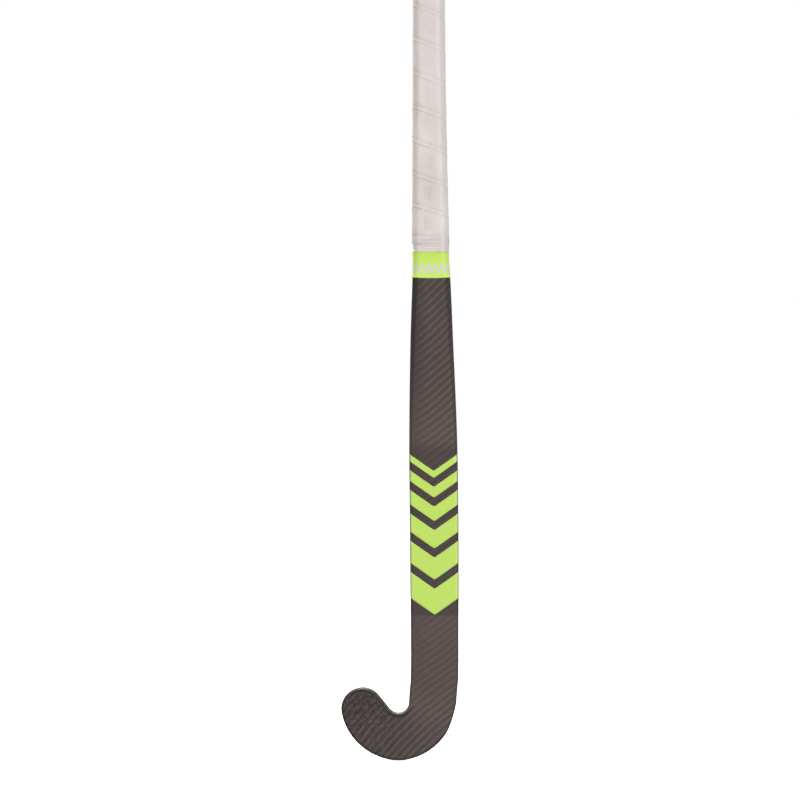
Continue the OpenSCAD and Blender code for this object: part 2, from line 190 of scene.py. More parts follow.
toe_turn = math.pi - toe_angle
toe_centre = polar(hook_r - toe_r, toe_turn)
inner_tangent = toe_turn - math.acos((toe_r + crotch_r) / (hook_r - toe_r))
toe_tangent = toe_centre - toe_r * (polar(1, inner_tangent) - hook)
inner_end = 2 * math.pi - math.atan2(toe_tangent[1] - hook_z, toe_tangent[0] - hook_x)

# From this share of the hook's sweep on, the inside runs ahead to meet the toe.
run_ahead = 0.82


def hook_section(t):
    """A section of the hook, from t = 0 at the heel to t = 1 where the toe's rounded end starts."""
    outer_angle = toe_turn * t
    inner_angle = outer_angle + (inner_end - toe_turn) * max(0.0, (t - run_ahead) / (1 - run_ahead))
    past = max(0.0, inner_angle - inner_tangent)
    outer, inner = polar(outer_r(outer_angle), outer_angle), polar(crotch_r / math.cos(past), inner_angle)
    across = outer - inner
    width = np.linalg.norm(across)
    return Section((outer + inner) / 2, across / width, width / 2, blade_d / 2 + (toe_d - blade_d) * t,
                   face_round, edge_round, blade_power, blade_d / 2)


# The least roundings of the inner wall, across and in depth.
least_round_u, least_round_v = 1.0, 1.2


def inset(section, wall):
    return section._replace(
        half=section.half - wall, back=section.back - wall, front=section.front - wall,
        round_u=max(section.round_u - wall, least_round_u),
        round_v=max(section.round_v - wall, least_round_v))


# Mesh fineness: steps of half a section on its flat, its rounding and its back, steps round the toe's end,
# steps round the hook, and millimetres between rings on the shaft.
FLAT, ROUND, BACK = 10, 10, 20
HALF = FLAT + ROUND + BACK
RING = 2 * HALF
TOE = 40
HOOK = 110
ring_step = 3.0


def half_outline(section):
    """Points (across, depth) from the middle of the face round one side to the middle of the back."""
    a, rv, face = section.half, section.round_v, -section.front
    ru = min(section.round_u, 0.8 * a)
    deep = section.back - face - rv
    flat = [((a - ru) * i / FLAT, face) for i in range(FLAT + 1)]
    turn = [math.pi / 2 * i / ROUND for i in range(1, ROUND + 1)]
    corner = [(a - ru + ru * math.sin(p), face + rv * (1 - math.cos(p))) for p in turn]
    sweep = [math.pi / 2 * i / BACK for i in range(1, BACK)]
    back = [(a * math.cos(p) ** (2 / section.power), face + rv + deep * math.sin(p) ** (2 / section.power))
            for p in sweep]
    return np.array(flat + corner + back + [(0.0, section.back)])


def ring_outline(section):
    half = half_outline(section)
    other = half[-2:0:-1] * np.array([-1, 1])
    return np.concatenate([half, other])


def placed(section, points, direction=None):
    """Points (across, depth) of a section as (x, y, height), bowed."""
    direction = section.across if direction is None else direction
    flat = section.middle + points[:, :1] * direction
    return np.column_stack([flat[:, 0], points[:, 1] + bow(flat[:, 1]), flat[:, 1]])


def arc_lengths(points):
    return np.concatenate([[0], np.cumsum(np.linalg.norm(np.diff(points, axis=0), axis=1))])


# ---- Meshes ----

def smoothstep(low, high, value):
    t = np.clip((np.asarray(value, float) - low) / (high - low), 0, 1)
    return t * t * (3 - 2 * t)


def make_piece(name, points, faces, maps=None):
    """A mesh piece from points in millimetres. maps holds UV maps: name to one pair per face corner."""
    mesh = bpy.data.meshes.new(name)
    metres = (points - np.array([0, 0, stick_length])) * MM
    mesh.from_pydata(metres.tolist(), [], faces)
    for map_name, corners in (maps or {}).items():
        layer = mesh.uv_layers.new(name=map_name)
        layer.data.foreach_set("uv", np.asarray(corners, np.float32).ravel())
    mesh.polygons.foreach_set("use_smooth", [True] * len(mesh.polygons))
    mesh.update()
    piece = bpy.data.objects.new(name, mesh)
    bpy.context.scene.collection.objects.link(piece)
    return piece


class Grid:
    """Faces between rows of points; each face remembers the map values at its corners."""

    def __init__(self):
        self.points, self.faces, self.corners = [], [], []

    def add_points(self, points):
        start = len(self.points)
        self.points.extend(points)
        return start

    def face(self, points, values):
        self.faces.append(points)
        self.corners.extend(values)


# ---- Shader maths ----

class Wire:
    """One value in a finish's node tree. Arithmetic on wires adds Math nodes."""

    def __init__(self, finish, socket):
        self.finish, self.socket = finish, socket

    def math(self, operation, *others):
        return self.finish.add("ShaderNodeMath", {"operation": operation}, [self, *others])

    def __add__(self, other):
        return self.math("ADD", other)

    __radd__ = __add__

    def __sub__(self, other):
        return self.math("SUBTRACT", other)

    def __rsub__(self, other):
        return self.finish.add("ShaderNodeMath", {"operation": "SUBTRACT"}, [other, self])

    def __mul__(self, other):
        return self.math("MULTIPLY", other)

    __rmul__ = __mul__

    def __truediv__(self, other):
        return self.math("DIVIDE", other)

    def __pow__(self, other):
        return self.math("POWER", other)

    def __abs__(self):
        return self.math("ABSOLUTE")

    def clamped(self):
        return self.finish.add("ShaderNodeMath", {"operation": "ADD", "use_clamp": True}, [self, 0.0])

    def wave(self):
        """A smooth 0 to 1 wave that repeats once for each unit of this value."""
        return (self * (2 * math.pi)).math("SINE") * 0.5 + 0.5

    def between(self, low, high):
        """0 below low, 1 above high, smooth between them."""
        settings = {"interpolation_type": "SMOOTHSTEP", "clamp": True}
        sockets = {"Value": self, "From Min": low, "From Max": high}
        return self.finish.add("ShaderNodeMapRange", settings, sockets)


class Finish:
    """A procedural material, or the world, and the one method that adds its nodes."""

    def __init__(self, name, owner=None):
        self.owner = owner or bpy.data.materials.new(name)
        self.owner.use_nodes = True
        self.tree = self.owner.node_tree
        self.tree.nodes.clear()
        self.place = None

    def add(self, kind, settings=None, sockets=None, output=0):
        """Adds a node: its settings first, then its sockets' values or links. Returns one output, or a
        list of them all when output is None."""
        node = self.tree.nodes.new(kind)
        for name, value in (settings or {}).items():
            setattr(node, name, value)
        given = sockets or {}
        pairs = given.items() if isinstance(given, dict) else enumerate(given)
        for key, value in pairs:
            self.feed(node.inputs[key], value)
        if output is None:
            return [Wire(self, socket) for socket in node.outputs]
        return Wire(self, node.outputs[output])

    def feed(self, socket, value):
        if isinstance(value, Wire):
            self.tree.links.new(value.socket, socket)
        elif hasattr(socket.default_value, "__len__") and len(socket.default_value) == 4:
            socket.default_value = (*value[:3], 1.0)
        else:
            socket.default_value = value

    def object_place(self):
        if self.place is None:
            self.place = self.add("ShaderNodeTexCoord", output="Object")
        return self.place

    def mapped(self, name):
        """The two values of one of the piece's maps."""
        return self.split(self.add("ShaderNodeUVMap", {"uv_map": name}))[:2]

    def split(self, vector):
        return self.add("ShaderNodeSeparateXYZ", None, {"Vector": vector}, output=None)

    def stretched(self, vector, scale):
        return self.add("ShaderNodeVectorMath", {"operation": "MULTIPLY"}, [vector, scale])

    def joined(self, x, y, z=0.0):
        return self.add("ShaderNodeCombineXYZ", None, [x, y, z])

    def cloud(self, scale, detail=3.0, rough=0.5, vector=None, distortion=0.0):
        """Noise from 0 to 1."""
        vector = self.object_place() if vector is None else vector
        sockets = {"Vector": vector, "Scale": scale, "Detail": detail, "Roughness": rough,
                   "Distortion": distortion}
        return self.add("ShaderNodeTexNoise", None, sockets)

    def cells(self, scale):
        """Distance to the nearest of scattered points."""
        return self.add("ShaderNodeTexVoronoi", None, {"Vector": self.object_place(), "Scale": scale})

    def blend(self, factor, first, second):
        """A colour between two colours."""
        settings = {"data_type": "RGBA", "clamp_factor": True}
        return self.add("ShaderNodeMix", settings, {0: factor, 6: first, 7: second}, output=2)

    def relief(self, height, distance, strength=1.0, below=None):
        """A bumped normal from a height of 0 to 1, distance metres deep."""
        sockets = {"Strength": strength, "Distance": distance, "Height": height}
        if below is not None:
            sockets["Normal"] = below
        return self.add("ShaderNodeBump", None, sockets)

    def surface(self, **sockets):
        """The Principled shader. Names are its sockets' names with underscores for spaces."""
        named = {name.replace("_", " "): value for name, value in sockets.items()}
        return self.finished("ShaderNodeOutputMaterial", self.add("ShaderNodeBsdfPrincipled", None, named))

    def finished(self, kind, shader):
        self.add(kind, None, {"Surface": shader}, output=None)
        return self.owner


# ---- Finishes ----

# Distance across the grip tape from its upper edge to the groove over the lower edge of the turn before.
tape_groove = 4.2
# The darker printed panel on the face lies between these heights.
print_base, print_top = 144.0, 315.0


def braided_carbon():
    """Dark brown-grey braid under satin lacquer: diagonal ribs, rougher and crossed in the hook."""
    f = Finish("braided_carbon")
    rib, cross = f.mapped("ribs")
    side, along = f.mapped("flow")
    edge, up = f.mapped("edge")
    toe_end = 1 - along.between(-45.0, 25.0)
    head = 1 - along.between(50.0, 130.0)
    upper = along.between(300.0, 480.0)
    drift = (f.cloud(22.0, 2.0) - 0.5) * 0.4 + (f.cloud(160.0, 2.0) - 0.5) * (0.26 + toe_end * 0.7)
    crackle = f.cloud(1100.0, 4.0, 0.75, distortion=0.6)
    fleck = f.cloud(480.0, 3.0, 0.65, distortion=0.3) - 0.5
    knots = f.cloud(300.0, 3.0, 0.7).between(0.3, 0.7)
    ribs = (rib + drift).wave() ** 1.4
    crossed = (cross * 1.45 + drift * 1.5).wave()
    # Broken strands that run with the ribs.
    broken = f.cloud(1.0, 2.5, 0.65, vector=f.joined(rib * 2.4 + drift, cross * 0.95)) - 0.5
    # The ribs fade towards the toe side of the shaft, darkening it there as painted shade of light from the
    # heel side, and fade just below the print.
    fade = 0.15 + 0.85 * side.between(-21.0, -2.0)
    fade = fade + head * (1 - fade)
    calm = 1 - 0.45 * along.between(50.0, 80.0) * (1 - along.between(120.0, 300.0))
    weave = ribs * fade * calm * (0.7 + 0.3 * knots) * (1 - 0.25 * toe_end)
    toe_weave = toe_end * ((crossed - 0.5) * 0.2 + fleck * 1.7) + broken * (0.7 * head + 1.9 * toe_end)
    tone = 0.33 + 0.40 * weave + 0.50 * toe_weave + 0.30 * (f.cloud(9.0, 2.0) - 0.5)
    tone = tone + 0.45 * (crackle - 0.5) + 0.30 * fleck + 0.07 * (1 - upper)
    # The lower hook, the toe and the shaft under the grip are darker than the blade.
    tone = tone - 0.29 * (1 - along.between(-8.0, 66.0)) - 0.11 * (1 - along.between(-55.0, -15.0))
    # On the shaft above the blade the toe side is painted darker still: painted shade, as if lit from the
    # heel side.
    tone = (tone - upper * (0.11 + 0.14 * (1 - side.between(-20.0, -3.0)))).clamped()
    printed = (along.between(print_base - 0.6, print_base + 0.6) * (1 - edge.between(1.9, 2.5))
               * (1 - along.between(print_top - 9, print_top + 9)))
    colour = f.blend(tone, (0.026, 0.0190, 0.0170), (0.150, 0.112, 0.104))
    colour = f.blend(printed * 0.50, colour, (0.034, 0.0275, 0.0255))
    # Along the upper edges of the hook a dark line of painted shade bounds the face, and the rounded edge
    # beyond it is painted paler: a painted highlight of light from above.
    # The shaft's roundings are painted darker than its face: painted shade where they turn away from the
    # light.
    faces_up = head * up.between(0.25, 0.75)
    painted_shade_line = faces_up * edge.between(0.88, 1.0) * (1 - edge.between(1.22, 1.36))
    painted_rim_highlight = faces_up * edge.between(1.34, 1.5) * (1 - edge.between(2.2, 2.5))
    painted_edge_shade = edge.between(0.96, 1.3) * (1 - faces_up)
    crotch = along.between(-20.0, 0.0) * (1 - along.between(22.0, 40.0))
    # Painted shade on the shaft's roundings.
    colour = f.blend(painted_edge_shade * (0.06 + 0.30 * along.between(240.0, 450.0)), colour, (0.016, 0.012, 0.011))
    # A painted shade line and a painted highlight along the hook's upper edges.
    colour = f.blend(painted_shade_line * 0.85, colour, (0.012, 0.009, 0.008))
    colour = f.blend(painted_rim_highlight * (0.10 + 0.45 * crotch), colour, (0.24, 0.205, 0.195))
    # A short broken nick on the blade.
    nick = ((1 - abs(along - 88.4 + (side + 9.7) * 0.43).between(0.15, 0.5)) * side.between(-10.0, -9.4)
            * (1 - side.between(-3.2, -2.6)) * f.cloud(420.0, 1.0).between(0.42, 0.55))
    colour = f.blend(nick * 0.4, colour, (0.42, 0.36, 0.34))
    height = weave * 0.8 + crackle * 0.3 + toe_weave * 0.4 - nick * 0.4
    roughness = (0.50 + 0.14 * f.cloud(60.0, 3.0) + 0.12 * toe_end * crackle - 0.12 * painted_rim_highlight
                 + 0.3 * painted_edge_shade).clamped()
    return f.surface(Base_Color=colour, Roughness=roughness, Normal=f.relief(height, 0.00016, 0.55),
                     Specular_IOR_Level=0.36)


def plain(name, colour, deep, roughness):
    """A moulded or cast finish: fine mottling between two tones and a matching grain."""
    f = Finish(name)
    grain = f.cloud(300.0, 4.0, 0.6)
    patches = f.cloud(25.0, 2.0)
    tone = (grain * 0.6 + patches * 0.5).clamped()
    rough = (roughness - 0.08 + 0.16 * grain).clamped()
    return f.surface(Base_Color=f.blend(tone, deep, colour), Roughness=rough,
                     Normal=f.relief(grain, 0.00005, 0.5))


def cast_foam(name, light, dark, cell):
    """Closed-cell foam: small bubbles at one scale and pinholes at another."""
    f = Finish(name)
    bubbles = f.cells(cell)
    pin = f.cells(cell * 2.3)
    pits = (bubbles.between(0.05, 0.5) * 0.6 + pin.between(0.02, 0.4) * 0.4).clamped()
    # The bubbles' hollows are painted darker: painted shade in the pits.
    return f.surface(Base_Color=f.blend(pits, dark, light), Roughness=0.85,
                     Normal=f.relief(pits, 0.0003, 0.6))


def resin_weave(name, light, dark, count):
    """A plain weave wetted with resin."""
    f = Finish(name)
    x, _, z = f.split(f.object_place())
    warp, weft = (x * count).wave(), (z * count).wave()
    over = (warp - weft) * 0.5 + 0.5
    return f.surface(Base_Color=f.blend(over, dark, light), Roughness=0.45,
                     Normal=f.relief(over, 0.0002, 0.5), Coat_Weight=0.5, Coat_Roughness=0.15)


def cushioned_grip():
    """Off-white polyurethane over-grip: soft, slightly waxy, with faint handling marks."""
    f = Finish("cushioned_grip")
    place = f.object_place()
    across, turned = f.mapped("tape")
    pores = f.cloud(2600.0, 3.0, 0.6)
    felt = f.cloud(420.0, 4.0, 0.65)
    grain = f.cloud(210.0, 4.0, 0.7, vector=f.stretched(place, (0.6, 1.0, 1.3)))
    drift = f.cloud(14.0, 3.0, 0.55, distortion=0.4)
    smudge = f.cloud(38.0, 4.0, 0.6, vector=f.stretched(place, (1.0, 1.0, 0.45)), distortion=0.8)
    groove = 1 - abs(across - tape_groove).between(0.12, 0.75)
    edge = 1 - across.between(-0.2, 0.6)
    worn = f.cloud(55.0, 2.0).between(0.35, 0.65)
    # Darker patches in the middle of the face on each turn, stronger on the lowest turns: a painted dark
    # reflection on the flat of the face.
    middle = abs((turned + 0.508).math("FRACT") - 0.5)
    painted_dark_reflection = (1 - middle.between(0.056, 0.064)) * across.between(9.0, 10.0) * (1 - across.between(24.0, 25.5))
    painted_dark_reflection = painted_dark_reflection * (0.6 + 0.9 * turned.between(8.5, 10.5))
    handled = (f.cloud(32.0, 3.0, 0.5).between(0.45, 0.62)
               * (1 - abs((turned + 0.5).math("FRACT") - 0.36).between(0.03, 0.06)))
    # The toe side is painted darker and the heel side paler: painted shade and painted light, as if lit from
    # the heel side.
    x = f.split(place)[0]
    toe_side, heel_side = 1 - x.between(-0.019, -0.006), x.between(-0.004, 0.012)
    # dust mixes real smudges and grain with painted shade: darker in the seam groove, along the tape's upper
    # edge and on the middle patches.
    dust = (smudge.between(0.46, 0.74) * 0.34 + (grain - 0.5) * 0.55 + groove * (0.35 + 0.4 * worn)
            + edge * 0.35 * worn + painted_dark_reflection * 0.16)
    # Painted shade on the toe side and painted light on the heel side.
    dust = (dust * (1 - 0.55 * heel_side) + 0.13 * toe_side).clamped()
    cream = f.blend(drift.between(0.35, 0.7), (0.690, 0.635, 0.610), (0.745, 0.700, 0.680))
    colour = f.blend(dust, cream, (0.520, 0.445, 0.400))
    colour = f.blend(handled * 0.30, colour, (0.60, 0.47, 0.37))
    height = pores * 0.35 + felt * 0.65
    roughness = (0.42 + 0.14 * felt + 0.12 * dust).clamped()
    return f.surface(Base_Color=colour, Roughness=roughness, Normal=f.relief(height, 0.00009, 0.5),
                     Specular_IOR_Level=0.42, Subsurface_Weight=0.06, Subsurface_Scale=0.002,
                     Sheen_Weight=0.12, Sheen_Roughness=0.5)


def stretched_film():
    """Finishing tape: off-white stretched film with fine lengthwise stress lines."""
    f = Finish("stretched_film")
    side, up = f.mapped("flow")
    lines = f.cloud(1.0, 3.0, 0.6, vector=f.joined(side * 0.05, up * 2.6))
    mottle = f.cloud(80.0, 3.0)
    colour = f.blend((lines * 0.6 + mottle * 0.4).between(0.3, 0.7), (0.62, 0.565, 0.545),
                     (0.735, 0.69, 0.675))
    return f.surface(Base_Color=colour, Roughness=(0.30 + 0.12 * mottle).clamped(),
                     Normal=f.relief(lines, 0.00012, 0.6), Specular_IOR_Level=0.5)


# The slanted marks on the collar band: their spacing, and how far they lean.
mark_step, mark_slant = 6.1, 0.06


def collar_film():
    """Bright yellow-green film with a row of plain grey slanted marks above its hem."""
    f = Finish("collar_film")
    side, up = f.mapped("flow")
    mottle = f.cloud(70.0, 3.0)
    lift = up - collar_base
    crinkle = f.cloud(1.0, 3.0, 0.6, vector=f.joined(side * 0.22, up * 0.7))
    green = f.blend((mottle * 0.7 + lift.between(4.0, 26.0) * 0.35).clamped(), (0.635, 0.875, 0.168),
                    (0.53, 0.735, 0.112))
    slot = (side / mark_step + lift * mark_slant).math("FRACT")
    mark = (slot.between(0.18, 0.23) * (1 - slot.between(0.72, 0.77))
            * lift.between(4.6, 5.0) * (1 - lift.between(13.6, 14.0)))
    colour = f.blend(mark * 0.96, green, (0.66, 0.645, 0.68))
    hem = 1 - lift.between(2.2, 2.9)
    colour = f.blend(hem * 0.8, colour, (0.61, 0.87, 0.15))
    top = lift.between(22.0, 27.0) * (0.35 + 0.65 * f.cloud(150.0, 3.0).between(0.42, 0.6))
    colour = f.blend(top * 0.42, colour, (0.36, 0.52, 0.09))
    return f.surface(Base_Color=colour, Roughness=(0.48 + 0.15 * mottle).clamped(),
                     Normal=f.relief(crinkle + mark * 0.12, 0.0001, 0.4), Specular_IOR_Level=0.42)


def transfer_ink():
    """Yellow-green ink film with a trace of the braid under it and rubbed spots."""
    f = Finish("transfer_ink")
    mottle = f.cloud(150.0, 4.0, 0.6)
    trace = f.mapped("ribs")[0].wave()
    colour = f.blend((mottle * 0.5 + trace * 0.25).clamped(), (0.515, 0.745, 0.125), (0.565, 0.79, 0.155))
    return f.surface(Base_Color=colour, Roughness=(0.36 + 0.12 * mottle).clamped(),
                     Normal=f.relief(trace * 0.5 + mottle * 0.4, 0.00006, 0.4), Specular_IOR_Level=0.4)


def cap_rubber():
    """Matte black rubber with fine moulded grain and a little dust."""
    f = Finish("cap_rubber")
    grain = f.cloud(1800.0, 3.0, 0.6)
    dust = f.cloud(60.0, 4.0, 0.65).between(0.5, 0.75)
    colour = f.blend(dust * 0.35, (0.016, 0.016, 0.017), (0.09, 0.085, 0.08))
    return f.surface(Base_Color=colour, Roughness=(0.55 + 0.2 * grain).clamped(),
                     Normal=f.relief(grain, 0.00008, 0.6), Specular_IOR_Level=0.35)


# ---- Moulded stick ----

# Ribs of the braid: their spacing in the head, and how many run round the shaft. In the head they bend
# round a point off the heel, below the base.
rib_spacing = 5.85
ribs_round = 12
rib_centre = np.array([216.0, -218.0])
rib_pull = 0.4
cross_spacing = 5.0
head_turn_low, head_turn_high = 80.0, 125.0

# The braid is tighter on the blade than above it: the rise of one rib on each, and from it how many ribs
# lie below each height.
blade_rib_rise, upper_rib_rise = 7.2, 8.1
RIB_HEIGHTS = np.arange(0.0, 941.0)
RIBS_BELOW = np.cumsum(
    1 / (blade_rib_rise + (upper_rib_rise - blade_rib_rise) * smoothstep(250, 450, RIB_HEIGHTS)))


def ribs_below(height):
    return np.interp(height, RIB_HEIGHTS, RIBS_BELOW)


def braid(section, signed, perimeter, along):
    """Rib and crossed-rib phases at signed distances from the middle of the face."""
    share = signed / perimeter
    # The braid is pulled round, so its ribs rise a little more steeply on the heel side of the face.
    turns = ribs_round * (share + rib_pull * (1 - np.cos(2 * math.pi * share)) / (2 * math.pi**2))
    flat = section.middle + signed[:, None] * section.across
    reach = np.linalg.norm(flat - rib_centre, axis=1)
    # The head's ribs meet the shaft's in the middle of the face.
    meeting = np.array([blade_offset, (head_turn_low + head_turn_high) / 2])
    head_rib = (reach - np.linalg.norm(meeting - rib_centre)) / rib_spacing + ribs_below(meeting[1])
    head_cross = (flat[:, 0] + flat[:, 1]) * math.sqrt(0.5) / cross_spacing
    shaft_weight = smoothstep(head_turn_low, head_turn_high, along)
    below = ribs_below(along)
    rib = shaft_weight * (below - turns) + (1 - shaft_weight) * head_rib
    cross = shaft_weight * (below + turns) + (1 - shaft_weight) * head_cross
    return np.column_stack([rib, cross])


# Where a point of a half section lies: 0 to 1 on the flat, to 2 round the edge, to 3 on the back. The edge
# map pairs it with how far that edge faces up.
EDGE_PLACES = np.interp(np.arange(HALF + 1), [0, FLAT, FLAT + ROUND, HALF], [0, 1, 2, 3])


def ring_maps(section, outline, along):
    """The maps at each corner of a ring: from the face's middle round, and once more where it closes."""
    lengths = arc_lengths(np.concatenate([outline, outline[:1]]))
    total = lengths[-1]
    # Distances from the middle of the face: the heel side's run up from it, the toe side's down to it.
    heel, toe = lengths[:HALF + 1], lengths[HALF:] - total
    upward = section.across[1]
    sides = []
    for signed, edge, up in ((heel, EDGE_PLACES, upward), (toe, EDGE_PLACES[::-1], -upward)):
        rest = np.column_stack([signed, np.full(len(signed), along), edge, np.full(len(signed), up)])
        sides.append(np.concatenate([braid(section, signed, total, along), rest], axis=1))
    return np.concatenate([sides[0][:-1], sides[1]]), sides[0][-1]


def moulding_sections(wall):
    """Sections down the shaft and round the hook with the distance along the stick of each."""
    count = math.ceil((laminate_top - hook_z) / ring_step)
    heights = [laminate_top + (hook_z - laminate_top) * i / count for i in range(count + 1)]
    sections = [(inset(shaft_section(h), wall), h) for h in heights]
    path = hook_z
    before = shaft_section(hook_z).middle
    for i in range(1, HOOK + 1):
        section = hook_section(i / HOOK)
        path -= np.linalg.norm(section.middle - before)
        before = section.middle
        sections.append((inset(section, wall), path))
    return sections


def add_tube(grid, sections, outward):
    """Quads round and along the stick, and the toe's rounded end. Returns the first ring's start."""
    rings, maps = [], []
    for section, along in sections:
        outline = ring_outline(section)
        rings.append(grid.add_points(placed(section, outline)))
        maps.append(ring_maps(section, outline, along))
    for i in range(len(rings) - 1):
        (upper, upper_back), (lower, lower_back) = maps[i], maps[i + 1]
        for k in range(RING):
            right_up = upper_back if k + 1 == HALF else upper[k + 1]
            right_low = lower_back if k + 1 == HALF else lower[k + 1]
            a, b = rings[i] + k, rings[i] + (k + 1) % RING
            d, c = rings[i + 1] + k, rings[i + 1] + (k + 1) % RING
            if outward:
                grid.face((a, d, c, b), [upper[k], lower[k], right_low, right_up])
            else:
                grid.face((a, b, c, d), [upper[k], right_up, right_low, lower[k]])
    add_toe(grid, sections[-1], rings[-1], maps[-1], outward)
    return rings[0]


def add_toe(grid, last, ring_start, ring_map, outward):
    """The toe's end: half sections turned about the depth direction, out to the toe's circle."""
    section, along = last
    wall = hook_section(1).half - section.half
    upper, upper_back = ring_map
    columns, values = [], []
    side = np.array([section.across[1], -section.across[0]])
    from_middle = toe_centre - section.middle
    for m in range(TOE + 1):
        angle = math.pi * m / TOE
        direction = math.cos(angle) * section.across + math.sin(angle) * side
        shadow = from_middle @ direction
        reach = shadow + math.sqrt((toe_r - wall) ** 2 - from_middle @ from_middle + shadow**2)
        outline = half_outline(section._replace(half=reach))
        if m == 0:
            columns.append([ring_start + j for j in range(HALF + 1)])
        elif m == TOE:
            columns.append([ring_start + (RING - j) % RING for j in range(HALF + 1)])
        else:
            start = grid.add_points(placed(section, outline[1:HALF], direction))
            columns.append([ring_start] + [start + j for j in range(HALF - 1)] + [ring_start + HALF])
        arcs = arc_lengths(outline)
        turned = section._replace(across=direction)
        phases = braid(turned, arcs, 2 * arcs[-1], along)
        rest = np.column_stack([arcs * math.cos(angle), along - arcs * math.sin(angle), EDGE_PLACES,
                                np.full(HALF + 1, direction[1])])
        values.append(np.concatenate([phases, rest], axis=1))
    for m in range(TOE):
        for j in range(HALF):
            around = [(m, j), (m, j + 1), (m + 1, j + 1), (m + 1, j)]
            if not outward:
                around = around[:1] + around[:0:-1]
            # Where a column ends, two of the corners are one point.
            corner = {}
            for i, k in around:
                corner.setdefault(columns[i][k], values[i][k])
            grid.face(tuple(corner)[::-1], list(corner.values())[::-1])


def moulded_stick():
    """The laminate: outer skin, inner wall and the open rim at the butt."""
    grid = Grid()
    outer = add_tube(grid, moulding_sections(0.0), True)
    inner = add_tube(grid, moulding_sections(shell_t), False)
    for k in range(RING):
        n = (k + 1) % RING
        grid.face((outer + k, outer + n, inner + n, inner + k), [np.zeros(6)] * 4)
    corners = np.array(grid.corners)
    maps = {"ribs": corners[:, :2], "flow": corners[:, 2:4], "edge": corners[:, 4:]}
    return make_piece("moulded_stick", grid.points, grid.faces, maps)


# ---- The handle's surface, for what is wound or printed on it ----

class Skin:
    """The moulding's outside between two heights, by height and share of the way round it."""

    columns = 240

    def __init__(self, low, high, step=1.5):
        self.heights = np.linspace(low, high, math.ceil((high - low) / step) + 1)
        shares = np.arange(self.columns + 1) / self.columns
        places, normals, rounds = [], [], []
        for height in self.heights:
            section = shaft_section(height)
            outline = ring_outline(section)
            closed = np.concatenate([outline, outline[:1]])
            arcs = arc_lengths(closed)
            at = shares * arcs[-1]
            points = np.column_stack([np.interp(at, arcs, closed[:, k]) for k in (0, 1)])
            ahead = np.gradient(points, axis=0)
            ahead[0] = ahead[-1] = (points[1] - points[-2]) / 2
            ahead /= np.linalg.norm(ahead, axis=1)[:, None]
            normals.append(ahead[:, ::-1] * [1, -1])
            places.append(points + [section.middle[0], bow(height)])
            rounds.append(arcs[-1])
        self.places, self.normals, self.rounds = np.array(places), np.array(normals), np.array(rounds)

    def round_at(self, height):
        return np.interp(height, self.heights, self.rounds)

    def at(self, height, share, off):
        """Points off millimetres proud of the surface. share is the part of the way round, 0 to 1."""
        height, share, off = np.broadcast_arrays(height, share, off)
        row = (height - self.heights[0]) / (self.heights[1] - self.heights[0])
        row = np.clip(row, 0, len(self.heights) - 1 - 0.001)
        column = np.mod(share, 1.0) * self.columns
        i, j = row.astype(int), np.minimum(column.astype(int), self.columns - 1)
        s, t = (row - i)[..., None], (column - j)[..., None]

        def mixed(table):
            upper = table[i, j] * (1 - t) + table[i, j + 1] * t
            lower = table[i + 1, j] * (1 - t) + table[i + 1, j + 1] * t
            return upper * (1 - s) + lower * s

        flat = mixed(self.places) + mixed(self.normals) * off[..., None]
        return np.concatenate([flat, height[..., None]], axis=-1)


def closed_sheet(name, outside, inside, closed_round, map_name, values):
    """A thin solid between two grids of points of the same size. values is one map pair per point."""
    rows, columns = outside.shape[:2]
    points = np.concatenate([outside.reshape(-1, 3), inside.reshape(-1, 3)])
    faces, corners = [], []
    span = columns if closed_round else columns - 1
    under = rows * columns

    def add(places, sides=(0, 0, 0, 0)):
        faces.append([i * columns + j % columns + side for (i, j), side in zip(places, sides)])
        corners.extend(values[i, j] for i, j in places)

    for i in range(rows - 1):
        for j in range(span):
            around = [(i, j), (i + 1, j), (i + 1, j + 1), (i, j + 1)]
            add(around)
            add(around[::-1], [under] * 4)
    for j in range(span):
        for i, order in ((0, 1), (rows - 1, -1)):
            a, b = [(i, j), (i, j + 1)][::order]
            add([a, b, b, a], [0, 0, under, under])
    if not closed_round:
        for i in range(rows - 1):
            for j, order in ((0, -1), (columns - 1, 1)):
                a, b = [(i, j), (i + 1, j)][::order]
                add([b, a, a, b], [0, 0, under, under])
    return make_piece(name, points, faces, {map_name: corners})


handle = Skin(collar_base - 3, laminate_top)
blade = Skin(120, 340)


def ripple(height, share, seed, waves=6, up_scale=9.0):
    """A smooth random relief round the handle, about -1 to 1."""
    draw = random.Random(seed)
    total = np.zeros(np.broadcast(height, share).shape)
    for _ in range(waves):
        turns = draw.randint(1, 5)
        rise = draw.uniform(-1, 1) / up_scale
        phase = draw.uniform(0, 2 * math.pi)
        total = total + np.sin(2 * math.pi * (np.asarray(share) * turns + np.asarray(height) * rise) + phase)
    return total / waves * 1.6


# ---- Wound grip ----

# The tape starts square at the butt and is wound towards the head; each turn's upper edge laps over the
# lower edge of the turn before. Distances across the tape run down from its upper edge.
tape_pitch = 34.0
tape_pitch_low = 30.6
tape_lap = 5.0
tape_w = tape_pitch + tape_lap
tape_level = 1.5
tape_thin = 0.28
first_edge = laminate_top - 0.9
# From this turn on the tape is wound at the closer pitch.
close_turn = 11.0
turn_steps = 120


def tape_inner(across):
    """Millimetres off the laminate of the tape's inside: it rides up on the turn before."""
    return 0.24 + 0.96 * (1 - smoothstep(0, 6.4, across))


